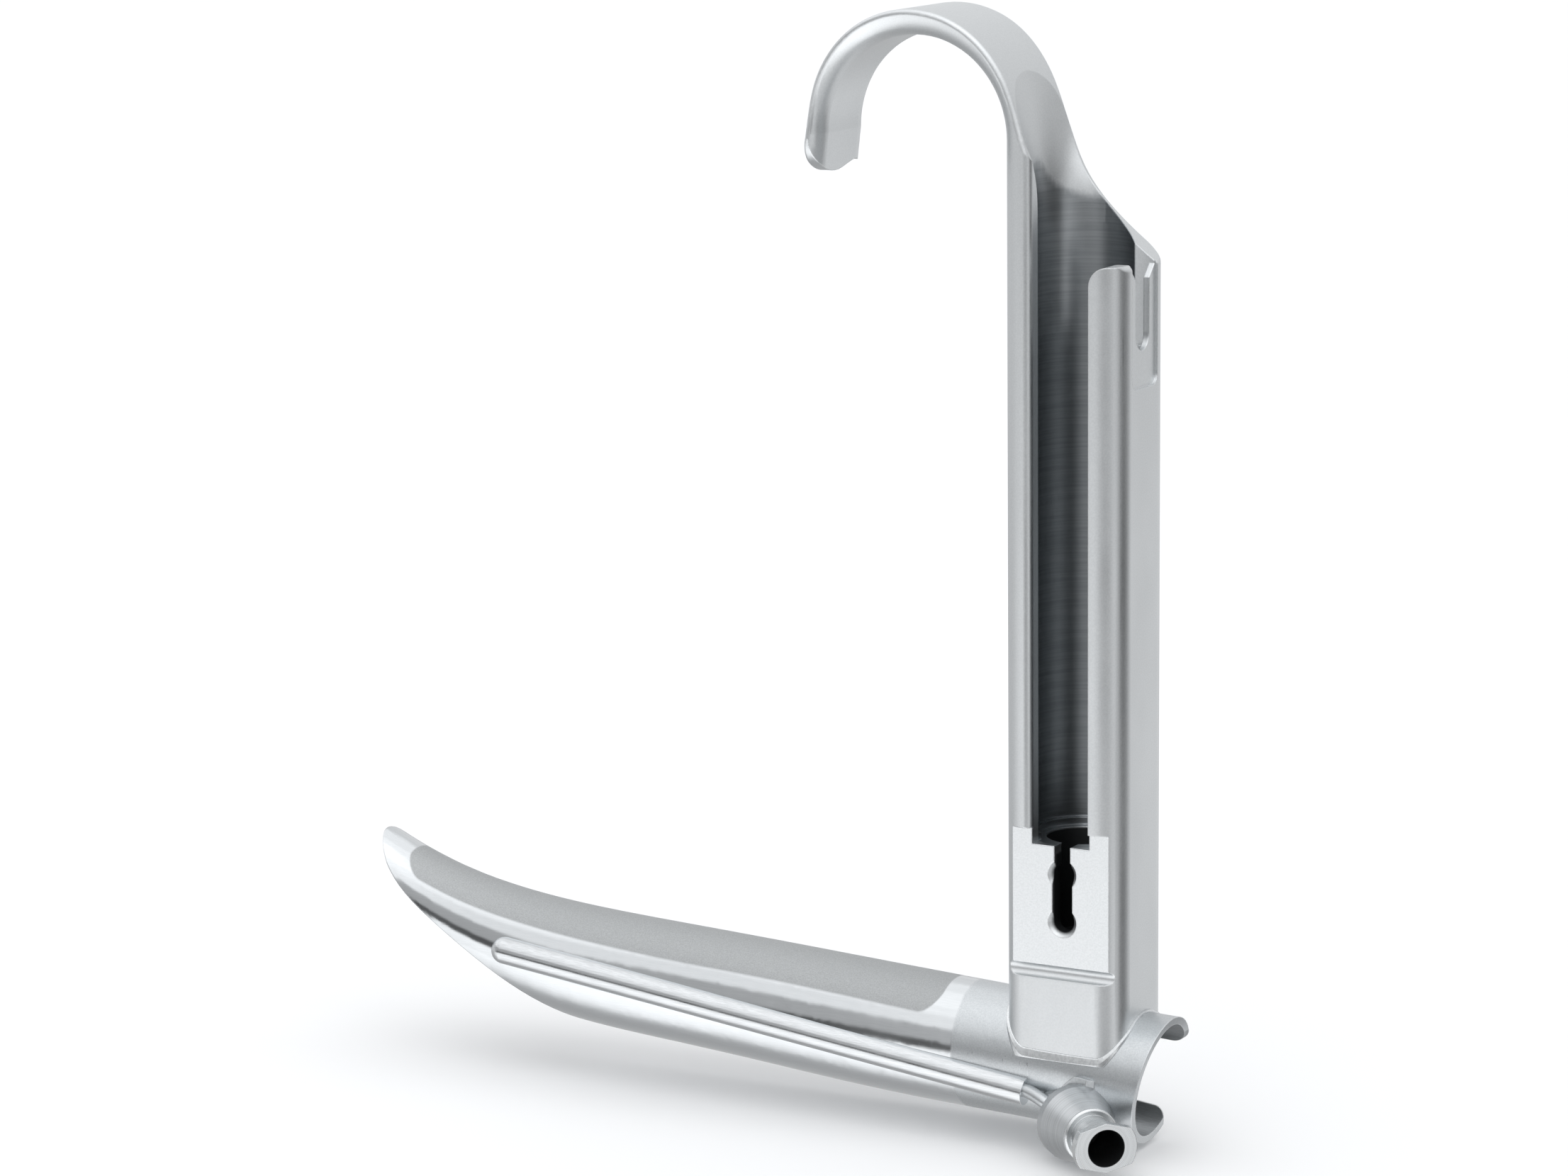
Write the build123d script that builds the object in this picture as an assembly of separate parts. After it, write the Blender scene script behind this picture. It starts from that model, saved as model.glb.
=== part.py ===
from build123d import *
import os
from math import radians, tan

# Rigid side-slotted operating laryngoscope, millimetres.
# Origin: centre of the ledge where the handle's wide channel steps down into the narrow light socket.
# +Z runs up the handle, -X points along the blade to its distal tip, -Y is the slotted side.

# handle bar, its wide channel and the narrow socket below the ledge
BAR_X, BAR_Y, BAR_R = 15.0, 13.3, 3.07
BAR_FOOT_Z, BAR_TOP_Z = -26.0, 79.9
CHANNEL_R, SOCKET_R, SOCKET_DEPTH = 5.7, 4.3, 12.0
STEP_R, STEP_H = 5.2, 0.9
SLOT_HALF, SLOT_ROUND, NEAR_WALL_TOP, NEAR_WALL_CORNER = 3.6, 0.9, 66.5, 2.2
# where the channel runs out into the hook: height, back wall x, half width
RUN_OUT = [
    (70.0, -5.7, 5.7),
    (73.0, -5.7, 5.8),
    (76.0, -5.75, 6.5),
    (80.0, -6.0, 8.8),
    (84.0, -6.55, 11.0),
    (89.0, -7.6, 12.5),
]
# finger hook, and the outer curve of its crown and ramp from the rear edge to the tip
HOOK_X, HOOK_R, HOOK_MID_X = -18.95, 11.45, -25.0
HOOK_TIP_Z, HOOK_TIP_LEAN, HOOK_TIP_HALF, HOOK_TIP_R, HOOK_TIP_START = 75.4, 0.55, 6.0, 3.4, 84.0
CROWN = [(9.0, 64.9), (6.3, 67.0), (3.1, 69.55), (-0.3, 72.8), (-2.6, 75.9), (-4.3, 79.8), (-6.8, 86.6),
         (-11.6, 92.2), (-18.9, 94.36), (-26.3, 91.9), (-30.8, 86.3), (-32.25, 80.2), (-32.7, 74.4)]
CROWN_LOW, CROWN_FRONT_X = 71.4, -10.0
CROWN_EDGE_R, TIP_EDGE_R, TIP_EDGE_X = 0.5, 0.3, -31.8
# milled flat with the keyhole slot, on the slotted side
FLAT_DEPTH, FLAT_TOP, FLAT_BOTTOM, GROOVE_R, GROOVE_DEPTH = 0.45, 1.8, -14.8, 0.8, 0.45
KEY_X, KEY_CENTRES, KEY_SINK_R, KEY_SINK_DEPTH = 0.2, (-3.25, -8.86), 1.78, 0.55
KEY_NECK, KEY_SLOT = 2.0, 2.5
# holder slot through the rear wall
TEE_WIDTH, TEE_BOTTOM, TEE_ARM_Z, TEE_ARM_WIDTH, TEE_UNDERCUT_X = 3.6, 56.6, 66.0, 6.4, 6.5
REAR_FLAT_DEPTH, REAR_FLAT_BOTTOM, REAR_FLAT_HALF, REAR_FLAT_CORNER = 0.3, 52.4, 3.4, 1.2
# blade tube stations: x, top z, bottom z, half width
STATIONS = [
    (16.0, -20.3, -35.6, 7.25),
    (4.0, -20.05, -35.1, 7.05),
    (-16.0, -18.9, -34.0, 7.05),
    (-40.0, -17.65, -32.4, 7.0),
    (-60.0, -16.7, -30.9, 6.9),
    (-72.0, -15.8, -29.4, 6.6),
    (-80.0, -14.6, -27.2, 6.1),
    (-88.0, -12.5, -23.4, 5.4),
    (-97.0, -8.6, -17.6, 4.5),
]
NOSE_CENTRE, NOSE_LENGTH, NOSE_HALF = -88.5, 7.0, 5.6
BEVEL = [(-96.9, -6.6), (-95.0, -10.2), (-90.6, -15.5), (-85.2, -19.3), (-79.3, -22.9), (-70.0, -28.2),
         (-61.0, -31.5)]
WALL = 0.9
# the far wall is open between a level edge above and an upright cut below, parted at the split level
LUMEN_SLOT_TOP, LUMEN_SPLIT, LUMEN_EDGE_Y, BLADE_FALL = -24.3, -27.3, 4.5, 0.062
MOUTH_X, MOUTH_Z, MOUTH_LEAN = 9.85, -27.6, 11.5
UPPER_LIP_R, LOWER_LIP_R, LOWER_LIP_X = 2.0, 1.7, 8.75
# ridge along the near wall and the supply pipe laid inside it
RIDGE_START, RIDGE_END, RIDGE_R = (-74.6, -6.7, -21.1), (-4.1, -6.85, -29.3), 1.65
PIPE_START, PIPE_BEND = (-73.5, -7.1, -21.15), (-7.5, -7.25, -28.8)
PIPE_TURN, PIPE_END = [(-3.6, -7.45, -29.05), (-0.6, -7.95, -30.15)], (3.0, -8.35, -31.6)
PIPE_R, PIPE_BORE_R = 0.8, 0.5
OUTLET_AT, OUTLET_R, OUTLET_DEPTH = (-72.3, -7.1, -21.25), 0.6, 3.0
# connector hub and nipple on the near side, pointing back and outwards
HUB_AT, HUB_DIR = (3.2, -8.55, -31.7), (1.0, -1.0, 0.0)
HUB_R, HUB_RIM, HUB_CONE, HUB_NOSE_R = 4.45, 1.2, 4.4, 3.2
HUB_BACK, HUB_STUB_R, HUB_STUB = 1.6, 2.6, 5.0
SPIGOT_R, SPIGOT = 2.6, 3.6
NECK_R, NECK, COLLAR, COLLAR_EDGE = 2.5, 3.6, 0.5, 0.2
FLANGE, LUG_R, BOSS_R, LUG_HALF = 1.15, 3.7, 2.9, 1.9
LUER_R, LUER_TAPER, LUER_DEPTH, LUER_THROAT_R = 2.15, 0.06, 7.4, 1.6
BRAZE, BRAZE_LOW, HUB_BRAZE = 0.3, -25.2, 0.8
FAR = 60.0
STANDING = (Align.CENTER, Align.CENTER, Align.MIN)


def bar(z_low, z_high, grow=0.0):
    """Handle bar with rounded vertical corners between two heights."""
    outline = RectangleRounded(BAR_X + 2 * grow, BAR_Y + 2 * grow, BAR_R + grow)
    return extrude(Plane.XY.offset(z_low) * outline, z_high - z_low)


def slab(x_span, y_span, z_span):
    """Axis-aligned block from its limits along each axis."""
    spans = (x_span, y_span, z_span)
    middle = [(low + high) / 2 for low, high in spans]
    return Pos(*middle) * Box(*[high - low for low, high in spans])


def side_prism(edges, y_span):
    """Closed outline drawn in the XZ plane and swept across y_span."""
    face = Face(Wire(edges))
    return extrude(Pos(0, y_span[0], 0) * face, y_span[1] - y_span[0], dir=(0, 1, 0))


def at(x, z):
    """Point in the blade's middle plane."""
    return Vector(x, 0, z)


def tube_body(inset):
    """Smooth solid through the blade stations, reduced all round by inset."""
    rings = []
    for x, top, bottom, half in STATIONS:
        ring = Plane(origin=(x, 0, (top + bottom) / 2), x_dir=(0, 1, 0), z_dir=(1, 0, 0))
        rings.append(ring * Ellipse(half - inset, (top - bottom) / 2 - inset))
    return loft(rings)


def rod(start, end, radius):
    """Straight round rod between two points."""
    axis = Vector(*end) - Vector(*start)
    return extrude(Plane(origin=start, z_dir=axis) * Circle(radius), axis.length)


def pipe_run(outer, inner=0.0):
    """Pipe that follows the ridge, then bends away from the tube into the hub."""
    straight = Line(PIPE_START, PIPE_BEND)
    bend = Spline(PIPE_BEND, *PIPE_TURN, PIPE_END, tangents=[straight % 1, HUB_DIR])
    ring = Circle(outer) - Circle(inner) if inner else Circle(outer)
    first, second = [Plane(origin=origin, z_dir=straight % 1) * ring for origin in (PIPE_START, PIPE_BEND)]
    return extrude(first, straight.length) + sweep(second, path=bend)


def turned(profile):
    """Solid of revolution on the hub axis from (distance along axis, radius) pairs."""
    hub = Plane(origin=HUB_AT, z_dir=HUB_DIR)
    first, last = profile[0][0], profile[-1][0]
    points = [Vector(0, 0, first)] + [Vector(r, 0, s) for s, r in profile] + [Vector(0, 0, last)]
    return hub.location * revolve(Face(Wire(Polyline(*points, close=True).edges())), Axis.Z)


def handle_outline():
    """Region under the outer curve of the hook and the ramp, gap of the hook included."""
    rear, tip = CROWN[0], CROWN[-1]
    rest = Polyline(at(*tip), at(HOOK_MID_X, CROWN_LOW), at(CROWN_FRONT_X, CROWN_LOW),
                    at(CROWN_FRONT_X, -FAR), at(rear[0], -FAR), at(*rear))
    return side_prism([Spline(*[at(x, z) for x, z in CROWN])] + list(rest.edges()), (-FAR, FAR))


def hook():
    """Bar section carried round the finger gap and down to the tip, before the outer side is trimmed."""
    width = BAR_R * 2 + 2
    middle = (BAR_X - width) / 2
    start, end = [Pos(x, 0, BAR_TOP_Z) * RectangleRounded(width, BAR_Y, BAR_R)
                  for x in (-middle, 2 * HOOK_X + middle)]
    arch = revolve(start, Axis((HOOK_X, 0, BAR_TOP_Z), (0, -1, 0)), 180)
    return arch + extrude(end, BAR_TOP_Z - HOOK_TIP_Z + 1, dir=(-HOOK_TIP_LEAN, 0, HOOK_TIP_Z - BAR_TOP_Z))


def hook_tip_trim():
    """Waste round the tongue-shaped tip of the hook."""
    x, top, low = HOOK_MID_X, HOOK_TIP_START, HOOK_TIP_Z
    side, half, shoulder = BAR_Y / 2, HOOK_TIP_HALF, HOOK_TIP_Z + HOOK_TIP_R
    tip = Spline((x, -half, shoulder), (x, -half * 0.72, low + 0.8), (x, 0, low), (x, half * 0.72, low + 0.8),
                 (x, half, shoulder), tangents=[(0, 0.08, -1), (0, 0.08, 1)])
    rest = Polyline((x, half, shoulder), (x, side, top), (x, -side, top), (x, -half, shoulder))
    tongue = Face(Wire([tip] + list(rest.edges())))
    return slab((-FAR, x), (-FAR, FAR), (low - 9, top)) - extrude(tongue, FAR, dir=(-1, 0, 0))


def ease_crown(body, radius, is_wanted):
    """Round the wanted edges of the hook's outer curve."""
    crown = body.faces().filter_by(GeomType.EXTRUSION).sort_by(SortBy.AREA)[-1]
    return fillet([edge for edge in crown.edges() if is_wanted(edge.center().X)], radius)


def keyhole():
    """Slot from the ledge down through two countersunk stations."""
    upper, lower = KEY_CENTRES
    face_y = -BAR_Y / 2 + FLAT_DEPTH
    neck = slab((KEY_X - KEY_NECK / 2, KEY_X + KEY_NECK / 2), (-FAR, 0), (upper, 1))
    slot = slab((KEY_X - KEY_SLOT / 2, KEY_X + KEY_SLOT / 2), (-FAR, 0), (lower, upper))
    cutter = neck + slot
    for z in KEY_CENTRES:
        across = Plane(origin=(KEY_X, 0, z), z_dir=(0, -1, 0))
        cutter += extrude(across * Circle(KEY_SLOT / 2), FAR)
        sink = Plane(origin=(KEY_X, face_y + KEY_SINK_DEPTH / 2, z), z_dir=(0, 1, 0))
        cutter += sink.location * Cone(KEY_SINK_R, KEY_SLOT / 2, KEY_SINK_DEPTH)
    return cutter


def tee_slot():
    """T-shaped holder slot through the rear wall, open at the top."""
    inner, outer, top = CHANNEL_R * 0.5, BAR_X, FAR + 20
    radius, arm = TEE_WIDTH / 2, TEE_ARM_WIDTH / 2
    low, shoulder = TEE_BOTTOM + radius, TEE_ARM_Z - (arm - radius)
    foot = Pos(inner, 0, low) * Rot(0, 90, 0) * Cylinder(radius, outer - inner, align=STANDING)
    half = [(radius, low), (radius, shoulder), (arm, TEE_ARM_Z), (arm, top)]
    outline = [(inner, y, z) for y, z in half] + [(inner, -y, z) for y, z in reversed(half)]
    undercut = slab((inner, TEE_UNDERCUT_X), (-arm, arm), (TEE_BOTTOM, top))
    face = Face(Wire(Polyline(*outline, close=True).edges()))
    return foot + undercut + extrude(face, outer - inner, dir=(1, 0, 0))


def near_wall_trim():
    """Waste above the short rear strip of the slotted wall, with a rounded inner corner."""
    x, z, r = SLOT_HALF, NEAR_WALL_TOP, NEAR_WALL_CORNER
    kept = Plane.XZ * Pos(x + FAR / 2, z - FAR / 2) * RectangleRounded(FAR, FAR, r)
    return slab((x - 1, BAR_X), (-BAR_Y, 0), (z - r, z + FAR)) - extrude(kept, BAR_Y)


def milled_flat():
    """Recess on the slotted side with a shallow groove along its foot."""
    face_y = -BAR_Y / 2 + FLAT_DEPTH
    pocket = slab((-BAR_X, BAR_X), (-BAR_Y, face_y), (FLAT_BOTTOM, FLAT_TOP))
    groove = Rot(0, 90, 0) * Cylinder(GROOVE_R, BAR_X * 2)
    return pocket + Pos(0, face_y - GROOVE_R + GROOVE_DEPTH, FLAT_BOTTOM) * groove


def run_out():
    """Shallow dish that carries the channel out into the hook's outer face."""
    rings = []
    for z, back, half in RUN_OUT:
        ring = Plane.XY.offset(z) * Pos((CHANNEL_R + back) / 2, 0)
        rings.append(ring * Ellipse((CHANNEL_R - back) / 2, half))
    return loft(rings)


def side_slot():
    """Slot down the near side, its front edge rounded above the milled flat."""
    x, y, r, top = -SLOT_HALF, -BAR_Y / 2, SLOT_ROUND, FAR * 2
    corner = slab((x - r, x + 1), (y - 1, y + r), (FLAT_TOP, top))
    corner -= Pos(x - r, y + r) * Cylinder(r, top, align=STANDING)
    return slab((x, -x), (-BAR_Y, 0), (0, top)) + corner


def rear_pocket():
    """Shallow recess with rounded lower corners round the holder slot."""
    middle = (BAR_X / 2 - REAR_FLAT_DEPTH, 0, REAR_FLAT_BOTTOM + FAR / 2)
    outline = RectangleRounded(REAR_FLAT_HALF * 2, FAR, REAR_FLAT_CORNER)
    return extrude(Plane(origin=middle, x_dir=(0, 1, 0), z_dir=(1, 0, 0)) * outline, BAR_X)


def make_handle(envelope):
    body = (bar(BAR_FOOT_Z, BAR_TOP_Z) + hook()) & handle_outline()
    body -= hook_tip_trim()
    body = ease_crown(body, CROWN_EDGE_R, lambda x: x > TIP_EDGE_X)
    body = ease_crown(body, TIP_EDGE_R, lambda x: x <= TIP_EDGE_X)
    channel = Pos(0, 0, STEP_H) * Cylinder(CHANNEL_R, RUN_OUT[0][0] - STEP_H, align=STANDING)
    step = Cylinder(STEP_R, STEP_H + 1, align=STANDING)
    socket = Pos(0, 0, -SOCKET_DEPTH) * Cylinder(SOCKET_R, SOCKET_DEPTH, align=STANDING)
    for waste in (channel, run_out(), step, socket, side_slot(), near_wall_trim(), milled_flat(), keyhole(),
                  tee_slot(), rear_pocket()):
        body -= waste
    return body - envelope


def far_wall_upper_waste():
    """Middle of the far wall and everything behind the mouth, the upper lip rounded where they meet."""
    def mouth(z):
        return MOUTH_X + (z - MOUTH_Z) * tan(radians(MOUTH_LEAN)), z

    def level(z, x):
        return x, z - x * BLADE_FALL

    lip, high = mouth(LUMEN_SLOT_TOP - MOUTH_X * BLADE_FALL), mouth(MOUTH_Z + FAR / 2)
    outline = Polygon(level(LUMEN_SLOT_TOP, -FAR * 2), lip, high, (FAR, high[1]), level(LUMEN_SPLIT, FAR),
                      level(LUMEN_SPLIT, -FAR * 2), align=None)
    corner = min(outline.vertices(), key=lambda v: abs(v.X - lip[0]) + abs(v.Y - lip[1]))
    side = Plane(origin=(0, FAR, 0), x_dir=(1, 0, 0), z_dir=(0, -1, 0))
    return extrude(side * fillet(corner, UPPER_LIP_R), FAR - 2, dir=(0, -1, 0))


def far_wall_lower_waste():
    """Far side under the split level, cut upright, its corner at the mouth rounded as seen from above."""
    x, y, r = LOWER_LIP_X - LOWER_LIP_R, LUMEN_EDGE_Y - LOWER_LIP_R, LOWER_LIP_R
    plan = slab((-FAR * 2, FAR), (LUMEN_EDGE_Y, FAR), (-FAR, 0)) + slab((x, FAR), (y, FAR), (-FAR, 0))
    plan -= Pos(x, y, -FAR) * Cylinder(r, FAR, align=STANDING)
    rear, front = [at(end, LUMEN_SPLIT - end * BLADE_FALL) for end in (FAR, -FAR * 2)]
    below = Polyline(front, rear, at(FAR, -FAR), at(-FAR * 2, -FAR), front)
    return plan & side_prism(list(below.edges()), (0, FAR))


def mouth_trim():
    """Leaning plane that ends the tube behind the handle."""
    lean = Rot(0, MOUTH_LEAN, 0)
    return Pos(MOUTH_X, 0, MOUTH_Z) * lean * Box(FAR, FAR, FAR, align=(Align.MIN, Align.CENTER, Align.CENTER))


def nose_trim():
    """Waste round the tip, which is rounded as seen from above."""
    nose = Plane.XY.offset(-FAR) * Pos(NOSE_CENTRE, 0) * Ellipse(NOSE_LENGTH, NOSE_HALF)
    return slab((-FAR * 2, NOSE_CENTRE), (-FAR, FAR), (-FAR, 0)) - extrude(nose, FAR)


def bevel_trim():
    """Waste under the swept-up distal bevel."""
    curve = Spline(*[at(x, z) for x, z in BEVEL])
    tip, rear = BEVEL[0], BEVEL[-1]
    rest = Polyline(at(*rear), at(rear[0], -FAR), at(-FAR * 2, -FAR), at(-FAR * 2, tip[1]), at(*tip))
    return side_prism([curve] + list(rest.edges()), (-FAR, FAR))


def make_blade(envelope, pipe_cuts):
    blade = envelope - tube_body(WALL)
    far_wall = [far_wall_upper_waste(), far_wall_lower_waste()]
    for waste in far_wall + [mouth_trim(), bevel_trim(), nose_trim()] + pipe_cuts:
        blade -= waste
    return blade


def make_braze(envelope, shape, grown, height):
    """Narrow bead of filler in the corner between the tube and a part standing on it."""
    return (tube_body(-height) & grown) - envelope - shape


def make_ridge(envelope, pipe):
    """Half-round ridge on the near wall with a domed distal end."""
    ridge = rod(RIDGE_START, RIDGE_END, RIDGE_R) + Pos(*RIDGE_START) * Sphere(RIDGE_R)
    return ridge - envelope - pipe


def make_nipple():
    """Female taper nipple: spigot in the hub, collar, neck and lugged flange."""
    body = turned([(HUB_CONE - SPIGOT, SPIGOT_R), (HUB_CONE, SPIGOT_R), (HUB_CONE, HUB_NOSE_R),
                   (NOSE - COLLAR_EDGE, HUB_NOSE_R), (NOSE, HUB_NOSE_R - COLLAR_EDGE), (NOSE, NECK_R),
                   (FACE - FLANGE, NECK_R)])
    hub = Plane(origin=HUB_AT, x_dir=(1, 1, 0), z_dir=HUB_DIR)
    corner = [(LUG_R, LUG_HALF), (0, BOSS_R), (-LUG_R, LUG_HALF)]
    wings = Polygon(*corner, *[(-x, -y) for x, y in corner], align=None)
    flange = extrude(Pos(0, 0, FACE - FLANGE) * (wings & Circle(LUG_R)), FLANGE)
    deep = LUER_R - LUER_TAPER * LUER_DEPTH / 2
    bore = turned([(0, LUER_THROAT_R), (FACE - LUER_DEPTH, LUER_THROAT_R), (FACE - LUER_DEPTH, deep),
                   (FACE, LUER_R), (FACE + 1, LUER_R)])
    return body + hub.location * flange - bore


NOSE = HUB_CONE + COLLAR
FACE = NOSE + NECK + FLANGE
os.makedirs("parts", exist_ok=True)

envelope = tube_body(0)
pipe_solid = pipe_run(PIPE_R)
outlet = Pos(OUTLET_AT) * Rot(-90, 0, 0) * Cylinder(OUTLET_R, OUTLET_DEPTH, align=STANDING)

HUB_PROFILE = [(-HUB_STUB, HUB_STUB_R), (-HUB_RIM - HUB_BACK, HUB_STUB_R), (-HUB_RIM, HUB_R), (0, HUB_R)]
hub_blank = turned(HUB_PROFILE + [(HUB_CONE, HUB_NOSE_R)])
hub_grown = turned([(along, radius + HUB_BRAZE) for along, radius in HUB_PROFILE])
pocket = turned([(HUB_CONE - SPIGOT, SPIGOT_R), (HUB_CONE + 1, SPIGOT_R)])
foot_grown, foot = bar(BRAZE_LOW, FLAT_BOTTOM, BRAZE), bar(BAR_FOOT_Z, FLAT_BOTTOM)
ridge = make_ridge(envelope, pipe_solid)
hub_filler = make_braze(envelope, hub_blank, hub_grown, HUB_BRAZE) - pipe_solid - ridge

nodes = {
    "handle_body": make_handle(envelope),
    "blade_tube": make_blade(envelope, [pipe_solid, outlet]),
    "foot_braze": make_braze(envelope, foot, foot_grown, BRAZE),
    "side_ridge": ridge,
    "supply_pipe": pipe_run(PIPE_R, PIPE_BORE_R) - outlet,
    "connector_hub": hub_blank - envelope - pocket - pipe_solid,
    "hub_braze": max(hub_filler.solids(), key=lambda piece: piece.volume),
    "luer_nipple": make_nipple(),
}
for node, shape in nodes.items():
    export_step(shape, f"parts/{node}.step")
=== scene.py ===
from math import cos, radians, sin, tau

import bpy
from mathutils import Matrix, Vector


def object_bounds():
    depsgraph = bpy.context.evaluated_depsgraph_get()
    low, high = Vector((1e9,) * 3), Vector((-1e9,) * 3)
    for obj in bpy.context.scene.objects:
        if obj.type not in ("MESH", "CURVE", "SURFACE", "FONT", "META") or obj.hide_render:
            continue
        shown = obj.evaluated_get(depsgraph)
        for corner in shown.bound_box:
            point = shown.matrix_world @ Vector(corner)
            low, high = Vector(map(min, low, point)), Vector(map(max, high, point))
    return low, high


# Rigid laryngoscope in stainless steel: satin handle, polished blade with a matte top strip and a turned
# connector. Sizes in the shader graphs are millimetres; Blender's own units are metres.
MM = 0.001

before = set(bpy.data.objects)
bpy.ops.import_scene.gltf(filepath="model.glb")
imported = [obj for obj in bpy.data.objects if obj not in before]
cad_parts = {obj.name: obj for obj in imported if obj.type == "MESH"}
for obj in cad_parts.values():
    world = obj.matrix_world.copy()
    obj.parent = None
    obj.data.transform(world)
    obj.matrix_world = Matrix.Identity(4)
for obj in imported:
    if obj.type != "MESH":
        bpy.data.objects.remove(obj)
cad_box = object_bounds()


# ---------------------------------------------------------------- shader graph helper
class Graph:
    """Short calls that add one node to a tree and return its output socket."""

    def __init__(self, tree):
        self.tree = tree
        tree.nodes.clear()

    def add(self, kind, inputs=None, out=0, **settings):
        """New node with its settings and inputs; out is the number or name of the output wanted."""
        node = self.tree.nodes.new(kind)
        for name, value in settings.items():
            setattr(node, name, value)
        for key, value in (inputs or {}).items():
            if isinstance(value, bpy.types.NodeSocket):
                self.tree.links.new(value, node.inputs[key])
            else:
                node.inputs[key].default_value = value
        return node.outputs[out] if node.outputs else None

    def parts(self, vector):
        """The three components of a vector."""
        axes = self.tree.nodes.new("ShaderNodeSeparateXYZ")
        self.tree.links.new(vector, axes.inputs[0])
        return axes.outputs

    def math(self, operation, a, b=0.0):
        return self.add("ShaderNodeMath", {0: a, 1: b}, operation=operation)

    def hypot(self, a, b):
        return self.math("SQRT", self.math("ADD", self.math("MULTIPLY", a, a), self.math("MULTIPLY", b, b)))

    def step(self, value, low, high):
        """Smooth change from 0 to 1 as value goes from low to high."""
        return self.add("ShaderNodeMapRange", {"Value": value, "From Min": low, "From Max": high},
                        interpolation_type="SMOOTHSTEP")

    def window(self, value, rise_from, rise_to, fall_from, fall_to):
        """0 below rise_from, 1 between rise_to and fall_from, 0 above fall_to."""
        return self.both(self.step(value, rise_from, rise_to), self.step(value, fall_to, fall_from))

    def both(self, *masks):
        result = masks[0]
        for mask in masks[1:]:
            result = self.math("MULTIPLY", result, mask)
        return result

    def invert(self, mask):
        return self.math("SUBTRACT", 1.0, mask)

    def blend(self, mask, a, b):
        """a where mask is 0, b where it is 1."""
        return self.add("ShaderNodeMix", {0: mask, 2: a, 3: b}, data_type="FLOAT")

    def tint(self, mask, a, b):
        """Colour a where mask is 0, b where it is 1."""
        return self.add("ShaderNodeMix", {0: mask, 6: a, 7: b}, out=2, data_type="RGBA")

    def mottle(self, pattern, tones, low=0.3, high=0.7):
        """Two tones spread by a noise pattern."""
        return self.tint(self.step(pattern, low, high), *tones)

    def curve(self, value, points):
        """Value through a smooth curve given by points, all within 0 to 1."""
        node = self.tree.nodes.new("ShaderNodeFloatCurve")
        line = node.mapping.curves[0]
        line.points[0].location, line.points[1].location = points[0], points[-1]
        for point in points[1:-1]:
            line.points.new(*point)
        node.mapping.update()
        self.tree.links.new(value, node.inputs["Value"])
        return node.outputs[0]

    def noise(self, vector, scale, detail=2.0, stretch=(1, 1, 1), roughness=0.5):
        """Noise with scale features a millimetre, times stretch along each axis."""
        spread = self.add("ShaderNodeVectorMath", {0: vector, 1: stretch}, operation="MULTIPLY")
        return self.add("ShaderNodeTexNoise", {"Vector": spread, "Scale": scale, "Detail": detail,
                                               "Roughness": roughness})

    def bump(self, height, depth_mm, normal):
        return self.add("ShaderNodeBump", {"Height": height, "Distance": depth_mm * MM, "Strength": 1.0,
                                           "Normal": normal})


def start_material(name):
    """Graph of a new material, with the place in millimetres and the surface's direction ready as sockets."""
    material = bpy.data.materials.new(name)
    material.use_nodes = True
    g = Graph(material.node_tree)
    place = g.add("ShaderNodeTexCoord", out="Object")
    g.mm = g.add("ShaderNodeVectorMath", {0: place, "Scale": 1 / MM}, operation="SCALE")
    g.x, g.y, g.z = g.parts(g.mm)
    g.nx, g.ny, g.nz = g.parts(g.add("ShaderNodeTexCoord", out="Normal"))
    g.material = material
    return g


def finish_material(g, colour, roughness, normal):
    shader = g.add("ShaderNodeBsdfPrincipled", {"Base Color": colour, "Metallic": 1.0, "Roughness": roughness,
                                                "Normal": normal})
    g.add("ShaderNodeOutputMaterial", {"Surface": shader})
    return g.material


# wear and the painted edge highlight grow as the cosine between the true and the softened normal falls from
# the first value to the second
WEAR_GLINT_START, WEAR_GLINT_FULL = 0.995, 0.9


def edge_wear_glint(g, radius_mm):
    """1 close to a sharp edge, for real wear and a painted edge highlight, and the softened normal there."""
    soft = g.add("ShaderNodeBevel", {"Radius": radius_mm * MM}, samples=4)
    true = g.add("ShaderNodeNewGeometry", out="Normal")
    match = g.add("ShaderNodeVectorMath", {0: soft, 1: true}, out="Value", operation="DOT_PRODUCT")
    return g.step(match, WEAR_GLINT_START, WEAR_GLINT_FULL), soft


def handling(g):
    """Broad uneven sheen that wiping and handling leave, and sparse hairline scratches."""
    smear = g.step(g.noise(g.mm, scale=0.09, detail=4.0, stretch=(1, 1, 0.5)), low=0.3, high=0.7)
    lines = g.step(g.noise(g.mm, scale=1.0, detail=1.0, stretch=(5.5, 5.5, 0.10)), low=0.69, high=0.72)
    patches = g.step(g.noise(g.mm, scale=0.2, detail=1.0), low=0.45, high=0.6)
    return smear, g.both(lines, patches)


# STEEL_BRIGHT is also the colour of the painted edge highlight
STEEL = (0.60, 0.625, 0.64, 1)
STEEL_DARK = (0.40, 0.42, 0.435, 1)
STEEL_BRIGHT = (0.78, 0.80, 0.81, 1)
# RECESS_SHADE is painted shade: a near-black colour for the insides of the handle socket, keyhole and nipple
# bore, where the steel is only in shade
RECESS_SHADE, RECESS_ROUGH = (0.055, 0.058, 0.06, 1), 0.6
WORN_ROUGH = 0.2


def worn(g, rough, wear_glint, hairs, wear_share, hair_share):
    """Roughness brought down on worn edges and along scratches."""
    marks = g.math("MAXIMUM", g.math("MULTIPLY", wear_glint, wear_share), g.math("MULTIPLY", hairs, hair_share))
    return g.blend(marks, rough, WORN_ROUGH)


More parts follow.
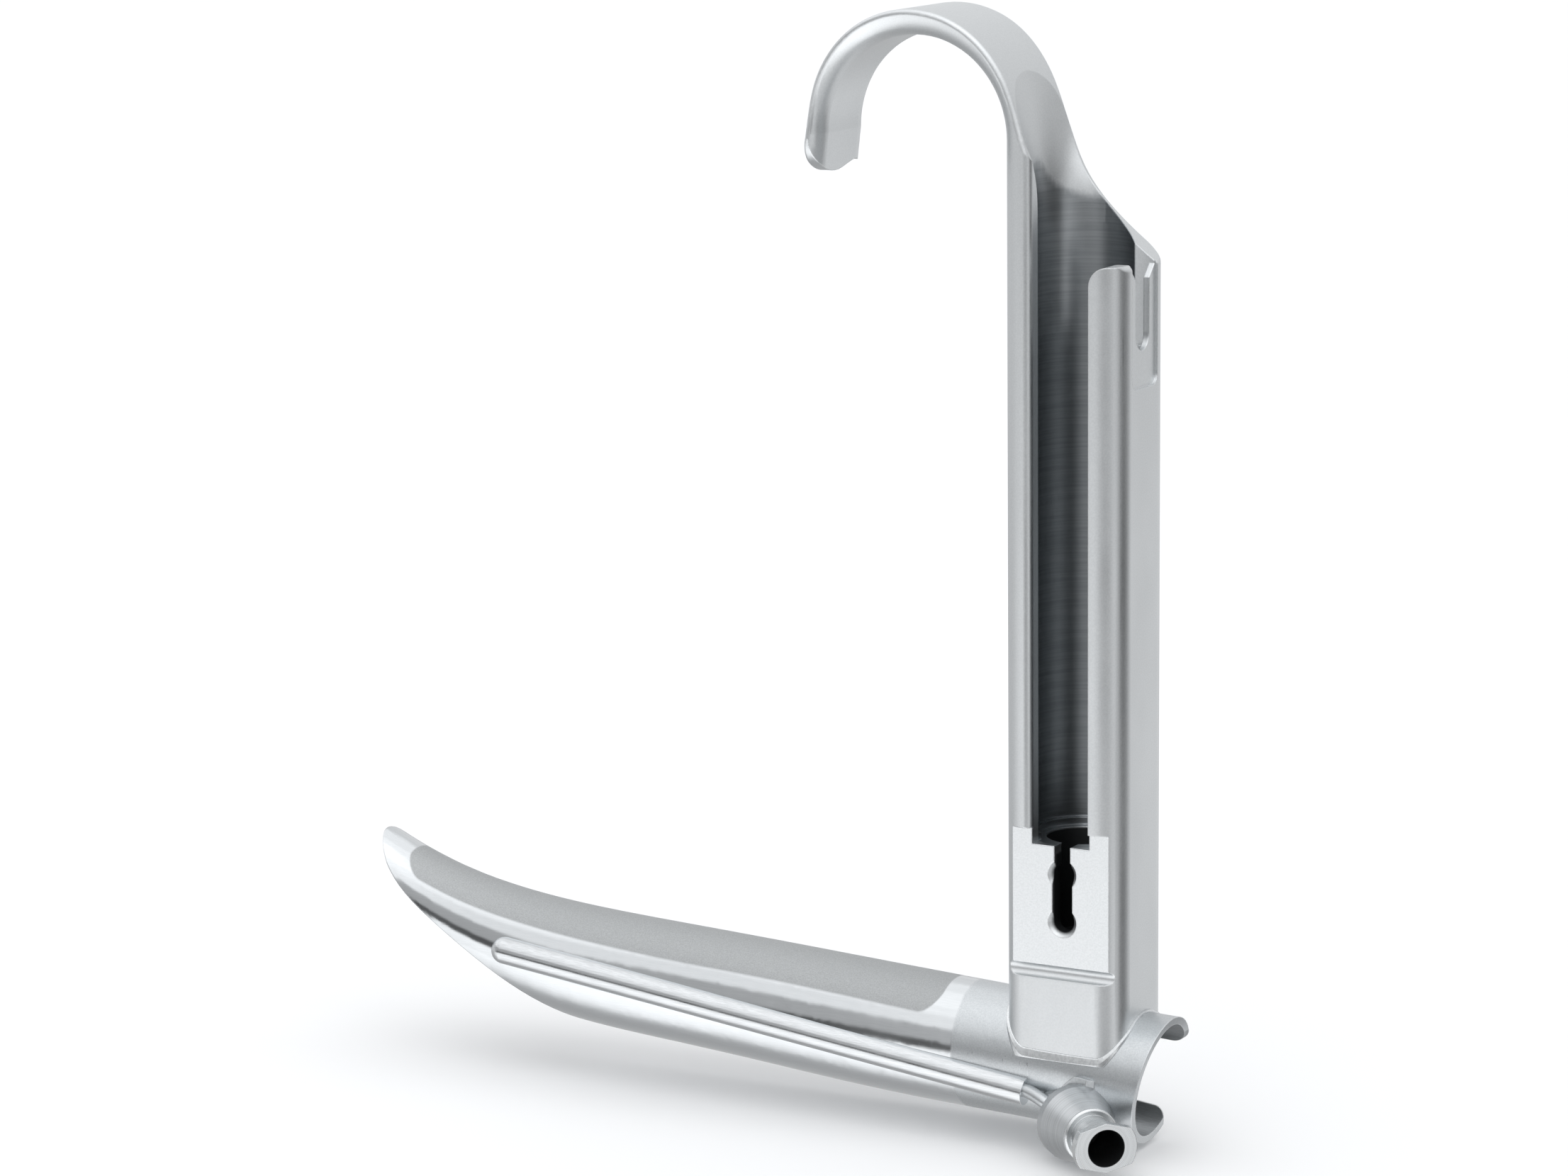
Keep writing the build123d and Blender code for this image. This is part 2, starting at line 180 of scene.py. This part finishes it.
# ---------------------------------------------------------------- handle
# limits of the masks; each window is where it starts and ends to rise, and starts and ends to fall
CHANNEL_R, CHANNEL_SOFT_R, CHANNEL_WINDOW_Z = 5.75, 5.85, (-0.2, 0.1, 83.0, 96.0)
SOCKET_R, SOCKET_SOFT_R, SOCKET_TOP, SOCKET_FULL_Z = 4.35, 4.5, 0.0, -0.3
KEYHOLE_WINDOW_Y, KEYHOLE_WINDOW_Z = (-6.05, -5.6, -4.3, -4.0), (-11.0, -10.6, -1.2, -0.6)
KEYHOLE_HALF, KEYHOLE_SOFT_HALF = 2.3, 2.6
FLAT_WINDOW_Y, FLAT_TOP, FLAT_SOFT_TOP = (-6.30, -6.24, -6.16, -6.1), 1.75, 1.85
HANDLE_TONES = (0.68, 0.70, 0.71, 1), (0.74, 0.76, 0.77, 1)
# channel colours are painted shade: darker than the handle steel for the shade inside the channel
CHANNEL_SHADE_TONES = (0.33, 0.35, 0.365, 1), STEEL_DARK
HANDLE_ROUGH, SPECKLE_ROUGH, CHANNEL_ROUGH, FLAT_ROUGH = (0.30, 0.37), 0.08, 0.33, 0.24


def handle_steel():
    g = start_material("handle_satin_steel")
    wear_glint, soft = edge_wear_glint(g, radius_mm=0.22)
    smear, hairs = handling(g)
    from_axis = g.hypot(g.x, g.y)
    channel = g.both(g.step(from_axis, CHANNEL_SOFT_R, CHANNEL_R), g.window(g.z, *CHANNEL_WINDOW_Z))
    flat = g.both(g.window(g.y, *FLAT_WINDOW_Y), g.step(g.z, FLAT_SOFT_TOP, FLAT_TOP),
                  g.step(g.ny, -0.9, -0.97))
    socket = g.both(g.step(from_axis, SOCKET_SOFT_R, SOCKET_R), g.step(g.z, SOCKET_TOP, SOCKET_FULL_Z))
    keyhole = g.both(g.window(g.y, *KEYHOLE_WINDOW_Y), g.window(g.z, *KEYHOLE_WINDOW_Z),
                     g.step(g.math("ABSOLUTE", g.x), KEYHOLE_SOFT_HALF, KEYHOLE_HALF))
    # painted shade: the socket and keyhole are coloured near black, with rougher steel
    recess_shade = g.math("MAXIMUM", socket, keyhole)

    speckle = g.noise(g.mm, scale=5.2, detail=3.0)
    grain = g.noise(g.mm, scale=1.0, detail=3.0, stretch=(9.0, 9.0, 0.35))
    rings = g.noise(g.mm, scale=1.0, stretch=(0.12, 0.12, 4.2))
    normal = g.bump(speckle, depth_mm=0.0016, normal=soft)
    normal = g.bump(g.both(grain, g.invert(channel)), depth_mm=0.0012, normal=normal)
    normal = g.bump(g.both(rings, channel), depth_mm=0.009, normal=normal)

    rough = g.math("ADD", g.blend(smear, *HANDLE_ROUGH), g.math("MULTIPLY", speckle, SPECKLE_ROUGH))
    rough = g.blend(channel, rough, CHANNEL_ROUGH)
    rough = g.blend(flat, rough, FLAT_ROUGH)
    rough = worn(g, rough, wear_glint, hairs, wear_share=0.7, hair_share=0.3)
    rough = g.blend(recess_shade, rough, RECESS_ROUGH)

    colour = g.mottle(speckle, HANDLE_TONES, low=0.25, high=0.75)
    # painted shade in the channel, mottled by the real turning rings
    colour = g.tint(channel, colour, g.mottle(rings, CHANNEL_SHADE_TONES))
    # painted highlight: worn edges outside the channel lightened to STEEL_BRIGHT, partly real wear
    colour = g.tint(g.both(wear_glint, g.invert(channel)), colour, STEEL_BRIGHT)
    return finish_material(g, g.tint(recess_shade, colour, RECESS_SHADE), rough, normal)


# ---------------------------------------------------------------- blade tube
# matte strip: half its width at each x, its two ends, the radius of its corners and how far its outline blurs
STRIP_LIMIT = [(-97, 3.6), (-88.5, 4.19), (-77, 4.77), (-56.5, 5.43), (-37, 5.53), (-19, 5.76), (-10, 5.8)]
STRIP_FRONT, STRIP_REAR, STRIP_CORNER, STRIP_BLUR = -91.0, -16.3, 2.6, 0.12
WIDEST_STRIP = 10.0
# the blade rises towards the tip: the strip lies above a sloping level, and the bore has a sloping middle
BLADE_FALL, STRIP_LEVEL, STRIP_FULL_LEVEL = 0.062, -25.8, -25.4
BORE_MIDDLE_Z, BORE_FALL = -27.7, 0.075
SATIN_START, SATIN_EDGE, SATIN_WAVER = -13.8, 0.4, 0.3
POLISH_TONES = (0.66, 0.685, 0.70, 1), (0.74, 0.76, 0.775, 1)
SATIN_TONES = (0.56, 0.585, 0.6, 1), (0.64, 0.665, 0.68, 1)
STRIP_TONES = (0.40, 0.41, 0.415, 1), (0.50, 0.515, 0.52, 1)
# bore colours are painted shade: darker steel for the shade inside the tube
BORE_SHADE_TONES = (0.33, 0.345, 0.355, 1), STEEL_DARK
POLISH_ROUGH, SATIN_ROUGH, STRIP_ROUGH, BORE_ROUGH = (0.10, 0.16), 0.34, (0.52, 0.62), 0.42


def matte_strip(g):
    """1 on the top strip, whose outline has rounded corners."""
    low_x, high_x = STRIP_LIMIT[0][0], STRIP_LIMIT[-1][0]
    along = g.add("ShaderNodeMapRange", {"Value": g.x, "From Min": low_x, "From Max": high_x})
    half_width = [((x - low_x) / (high_x - low_x), y / WIDEST_STRIP) for x, y in STRIP_LIMIT]
    limit = g.math("MULTIPLY", WIDEST_STRIP, g.curve(along, half_width))
    side = g.math("SUBTRACT", g.math("ABSOLUTE", g.y), limit)
    # distance beyond the corners' centres, which lie one corner radius inside the outline
    over_x = g.math("MAXIMUM", g.math("SUBTRACT", g.x, STRIP_REAR - STRIP_CORNER),
                    g.math("SUBTRACT", STRIP_FRONT + STRIP_CORNER, g.x))
    over_x = g.math("MAXIMUM", over_x, 0.0)
    over_y = g.math("MAXIMUM", g.math("ADD", side, STRIP_CORNER), 0.0)
    outline = g.step(g.hypot(over_x, over_y), STRIP_CORNER + STRIP_BLUR, STRIP_CORNER - STRIP_BLUR)
    upper = g.step(g.math("ADD", g.z, g.math("MULTIPLY", g.x, BLADE_FALL)), STRIP_LEVEL, STRIP_FULL_LEVEL)
    facing_up = g.step(g.nz, 0.02, 0.1)
    return g.both(outline, upper, facing_up)


def bore_walls(g):
    """1 where the surface faces the middle of the tube."""
    middle_z = g.math("SUBTRACT", BORE_MIDDLE_Z, g.math("MULTIPLY", g.x, BORE_FALL))
    from_middle = g.math("SUBTRACT", g.z, middle_z)
    outward = g.math("ADD", g.math("MULTIPLY", g.ny, g.y), g.math("MULTIPLY", g.nz, from_middle))
    return g.step(outward, -0.8, -1.6)


def blade_steel():
    g = start_material("blade_polished_steel")
    wear_glint, soft = edge_wear_glint(g, radius_mm=0.18)
    smear, hairs = handling(g)
    strip, inside_shade = matte_strip(g), bore_walls(g)
    wavering_x = g.math("ADD", g.x, g.math("MULTIPLY", g.noise(g.mm, scale=0.5), SATIN_WAVER))
    satin = g.step(wavering_x, SATIN_START, SATIN_START + SATIN_EDGE)

    blast = g.noise(g.mm, scale=7.0, detail=3.0, roughness=0.6)
    fine = g.noise(g.mm, scale=6.0)
    grain = g.noise(g.mm, scale=1.0, stretch=(0.5, 7.0, 7.0))
    normal = g.bump(g.both(blast, strip), depth_mm=0.014, normal=soft)
    normal = g.bump(g.both(fine, satin), depth_mm=0.005, normal=normal)
    normal = g.bump(grain, depth_mm=0.0012, normal=normal)

    rough = g.blend(satin, g.blend(smear, *POLISH_ROUGH), SATIN_ROUGH)
    rough = g.blend(strip, rough, g.blend(blast, *STRIP_ROUGH))
    rough = g.blend(inside_shade, rough, BORE_ROUGH)
    rough = worn(g, rough, wear_glint, hairs, wear_share=0.5, hair_share=0.6)

    colour = g.tint(grain, *POLISH_TONES)
    colour = g.tint(satin, colour, g.mottle(fine, SATIN_TONES))
    colour = g.tint(strip, colour, g.mottle(blast, STRIP_TONES))
    # painted shade on the walls facing the inside of the tube
    colour = g.tint(inside_shade, colour, g.mottle(grain, BORE_SHADE_TONES))
    # painted highlight: worn edges lightened to STEEL_BRIGHT, partly real wear
    colour = g.tint(wear_glint, colour, STEEL_BRIGHT)
    return finish_material(g, colour, rough, normal)


# ---------------------------------------------------------------- small parts
SMALL_EDGE, SMALL_WORN = 0.12, 0.7
ROUND_GRAIN = (3.0, 3.0, 3.0)
# the connector's axis, and the mouth of its bore
HUB_AT, HUB_DIR = (3.2, -8.55, -31.7), (1.0, -1.0, 0.0)
NIPPLE_PITCH, NIPPLE_BORE, BORE_BLUR = 0.12, 2.2, 0.04


def darker(tone, share):
    """The tone at this share of its brightness."""
    return tuple(v * share for v in tone[:3]) + (1,)


def small_finish(g, pattern, depth_mm, roughness, rough_range, pattern_rough, tones):
    """Normal, roughness and colour that drawn and turned metal share."""
    wear_glint, soft = edge_wear_glint(g, SMALL_EDGE)
    smear, hairs = handling(g)
    speckled = g.bump(g.noise(g.mm, scale=7.0), depth_mm=0.0015, normal=soft)
    normal = g.bump(pattern, depth_mm, speckled)
    rough = g.math("ADD", g.blend(smear, roughness, roughness + rough_range),
                   g.math("MULTIPLY", pattern, pattern_rough))
    rough = g.blend(g.math("MAXIMUM", wear_glint, hairs), rough, roughness * SMALL_WORN)
    # the colour lightens worn edges to STEEL_BRIGHT: painted highlight, partly real wear
    return normal, rough, g.tint(wear_glint, g.mottle(pattern, tones), STEEL_BRIGHT)


def drawn_steel(name, roughness, along, tone=STEEL):
    """Drawn or poured metal with fine grain stretched along one direction."""
    g = start_material(name)
    grain = g.noise(g.mm, scale=1.0, detail=3.0, stretch=along)
    tones = darker(tone, share=0.86), tone
    normal, rough, colour = small_finish(g, grain, 0.003, roughness, rough_range=0.07, pattern_rough=0.06,
                                         tones=tones)
    return finish_material(g, colour, rough, normal)


def turned_steel(name, roughness, tone, pitch_mm=0.16, bore_mm=0.0):
    """Lathe-turned metal: fine rings round the connector's axis, rougher and painted near black as shade in a
    bore of this radius.
    """
    g = start_material(name)
    offset = g.add("ShaderNodeVectorMath", {0: g.mm, 1: HUB_AT}, operation="SUBTRACT")
    unit = Vector(HUB_DIR).normalized()
    along = g.add("ShaderNodeVectorMath", {0: offset, 1: unit}, out="Value", operation="DOT_PRODUCT")
    length = g.add("ShaderNodeVectorMath", {0: offset}, out="Value", operation="LENGTH")
    square = g.math("SUBTRACT", g.math("MULTIPLY", length, length), g.math("MULTIPLY", along, along))
    radial = g.math("SQRT", g.math("MAXIMUM", square, 0.0))
    lathe = g.add("ShaderNodeCombineXYZ", {0: along, 1: radial, 2: 0.0})
    rings = g.noise(lathe, 1 / pitch_mm)
    tones = darker(tone, share=0.84), tone
    normal, rough, colour = small_finish(g, rings, 0.0045, roughness, rough_range=0.06, pattern_rough=0.08,
                                         tones=tones)
    # painted shade: the bore is coloured near black, where the real steel is only in shade
    bore_shade = g.step(radial, bore_mm + BORE_BLUR, bore_mm - BORE_BLUR)
    return finish_material(g, g.tint(bore_shade, colour, RECESS_SHADE), g.blend(bore_shade, rough, RECESS_ROUGH), normal)


finishes = {
    "handle_body": handle_steel(),
    "blade_tube": blade_steel(),
    "foot_braze": drawn_steel("filler_bead", 0.22, ROUND_GRAIN, STEEL_BRIGHT),
    "side_ridge": drawn_steel("ridge_polished_steel", 0.13, (0.4, 8.0, 8.0), (0.72, 0.74, 0.755, 1)),
    "supply_pipe": drawn_steel("pipe_drawn_steel", 0.3, (0.5, 7.0, 7.0)),
    "connector_hub": turned_steel("hub_turned_steel", 0.27, (0.60, 0.62, 0.635, 1)),
    "hub_braze": drawn_steel("hub_filler_bead", 0.26, ROUND_GRAIN),
    "luer_nipple": turned_steel("nipple_turned_steel", 0.2, (0.72, 0.74, 0.75, 1), NIPPLE_PITCH, NIPPLE_BORE),
}
for node, material in finishes.items():
    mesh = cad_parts[node].data
    mesh.materials.clear()
    mesh.materials.append(material)


# ---------------------------------------------------------------- studio
FLOOR_SIZE, FLOOR_TONE, FLOOR_ROUGH, FLOOR_GLOSS = 6.0, (0.93, 0.935, 0.94, 1), 0.85, 0.1


def pale_floor():
    low = min(corner[2] for corner in cad_box)
    mesh = bpy.data.meshes.new("studio_floor")
    corners = [(-1, -1), (1, -1), (1, 1), (-1, 1)]
    mesh.from_pydata([(x * FLOOR_SIZE, y * FLOOR_SIZE, low) for x, y in corners], [], [(0, 1, 2, 3)])
    floor = bpy.data.objects.new("studio_floor", mesh)
    bpy.context.scene.collection.objects.link(floor)
    material = bpy.data.materials.new("pale_floor")
    material.use_nodes = True
    g = Graph(material.node_tree)
    shader = g.add("ShaderNodeBsdfPrincipled", {"Base Color": FLOOR_TONE, "Roughness": FLOOR_ROUGH,
                                                "Specular IOR Level": FLOOR_GLOSS})
    g.add("ShaderNodeOutputMaterial", {"Surface": shader})
    mesh.materials.append(material)
    floor.visible_glossy = False


# brightness of the surround by azimuth, in degrees from +X round to +Y: TABLE below the first band, and then
# each band from its lowest elevation up to the next one's
TABLE = [(0, 0.6), (45, 0.8), (110, 0.55), (180, 0.5), (205, 0.95), (225, 1.4), (250, 1.6), (280, 1.7),
         (315, 0.95), (360, 0.6)]
BANDS = [
    (-24, [(0, 0.03), (20, 0.1), (45, 0.6), (66, 0.9), (90, 0.8), (180, 0.6), (215, 1.0), (240, 1.35),
           (250, 1.3), (262, 0.65), (275, 0.28), (290, 0.26), (306, 0.4), (322, 0.85), (336, 1.15),
           (348, 0.2), (360, 0.03)]),
    (-8, [(0, 0.03), (20, 0.08), (45, 0.45), (66, 0.75), (90, 0.65), (180, 0.75), (215, 0.6), (230, 0.12),
          (252, 0.14), (270, 0.4), (290, 0.22), (318, 0.3), (336, 0.5), (350, 0.1), (360, 0.03)]),
    (4, [(0, 0.3), (45, 0.7), (180, 0.75), (215, 0.5), (240, 0.48), (270, 0.95), (315, 0.85), (360, 0.3)]),
    (26, [(0, 1.1), (90, 0.8), (180, 1.2), (225, 0.95), (270, 1.4), (315, 1.4), (360, 1.1)]),
    (45, [(0, 1.35), (90, 1.15), (180, 1.15), (225, 1.2), (315, 1.6), (360, 1.35)]),
]
BAND_EDGE, BRIGHTEST, FULL_TURN = 0.05, 2.0, 360
SURROUND_TONE = (0.985, 0.99, 1.0, 1)


def soft_surround():
    """Uneven surround for the steel to reflect; the camera itself sees plain white."""
    world = bpy.data.worlds.new("studio")
    world.use_nodes = True
    bpy.context.scene.world = world
    g = Graph(world.node_tree)
    x, y, z = g.parts(g.add("ShaderNodeTexCoord", out="Generated"))
    turn = g.math("FRACT", g.math("ADD", g.math("DIVIDE", g.math("ARCTAN2", y, x), tau), 1.0))

    def by_azimuth(table):
        return g.curve(turn, [(azimuth / FULL_TURN, brightness / BRIGHTEST) for azimuth, brightness in table])

    level = by_azimuth(TABLE)
    for elevation, table in BANDS:
        height = sin(radians(elevation))
        above = g.step(z, height - BAND_EDGE, height + BAND_EDGE)
        level = g.blend(above, level, by_azimuth(table))
    level = g.math("MULTIPLY", level, BRIGHTEST)
    seen = g.add("ShaderNodeLightPath", out="Is Camera Ray")
    strength = g.blend(seen, level, 1.0)
    shade = g.add("ShaderNodeBackground", {"Color": SURROUND_TONE, "Strength": strength})
    g.add("ShaderNodeOutputWorld", {"Surface": shade})


def softbox(name, centre, target, width, height, watts):
    data = bpy.data.lights.new(name, "AREA")
    data.shape, data.size, data.size_y, data.energy = "RECTANGLE", width, height, watts
    lamp = bpy.data.objects.new(name, data)
    place = Vector(centre)
    turn = (Vector(target) - place).to_track_quat("-Z", "Y")
    lamp.matrix_world = Matrix.Translation(place) @ turn.to_matrix().to_4x4()
    bpy.context.scene.collection.objects.link(lamp)


VIEW_AZIMUTH, VIEW_PITCH, VIEW_ROLL = 28.764, 11.022, -0.668
VIEW_PLACE, VIEW_LENS, VIEW_SENSOR, VIEW_CLIP = (0.22589, -0.48233, 0.13284), 109.41, 36, 0.01


def photographer():
    """Camera turned by an azimuth, a downward pitch and a roll, all in degrees."""
    azimuth, pitch, roll = radians(VIEW_AZIMUTH), radians(VIEW_PITCH), radians(VIEW_ROLL)
    back = Vector((sin(azimuth) * cos(pitch), -cos(azimuth) * cos(pitch), sin(pitch)))
    right = Vector((cos(azimuth), sin(azimuth), 0))
    up = back.cross(right)
    columns = (right * cos(roll) + up * sin(roll), up * cos(roll) - right * sin(roll), back)
    data = bpy.data.cameras.new("view")
    data.lens, data.sensor_width, data.clip_start = VIEW_LENS, VIEW_SENSOR, VIEW_CLIP
    camera = bpy.data.objects.new("view", data)
    camera.matrix_world = Matrix.Translation(VIEW_PLACE) @ Matrix(columns).transposed().to_4x4()
    bpy.context.scene.collection.objects.link(camera)
    bpy.context.scene.camera = camera


pale_floor()
soft_surround()
softbox("overhead", centre=(-0.1, -0.15, 0.9), target=(0, 0, 0), width=0.9, height=0.7, watts=0.25)
photographer()
bpy.context.scene.view_settings.view_transform = "Standard"
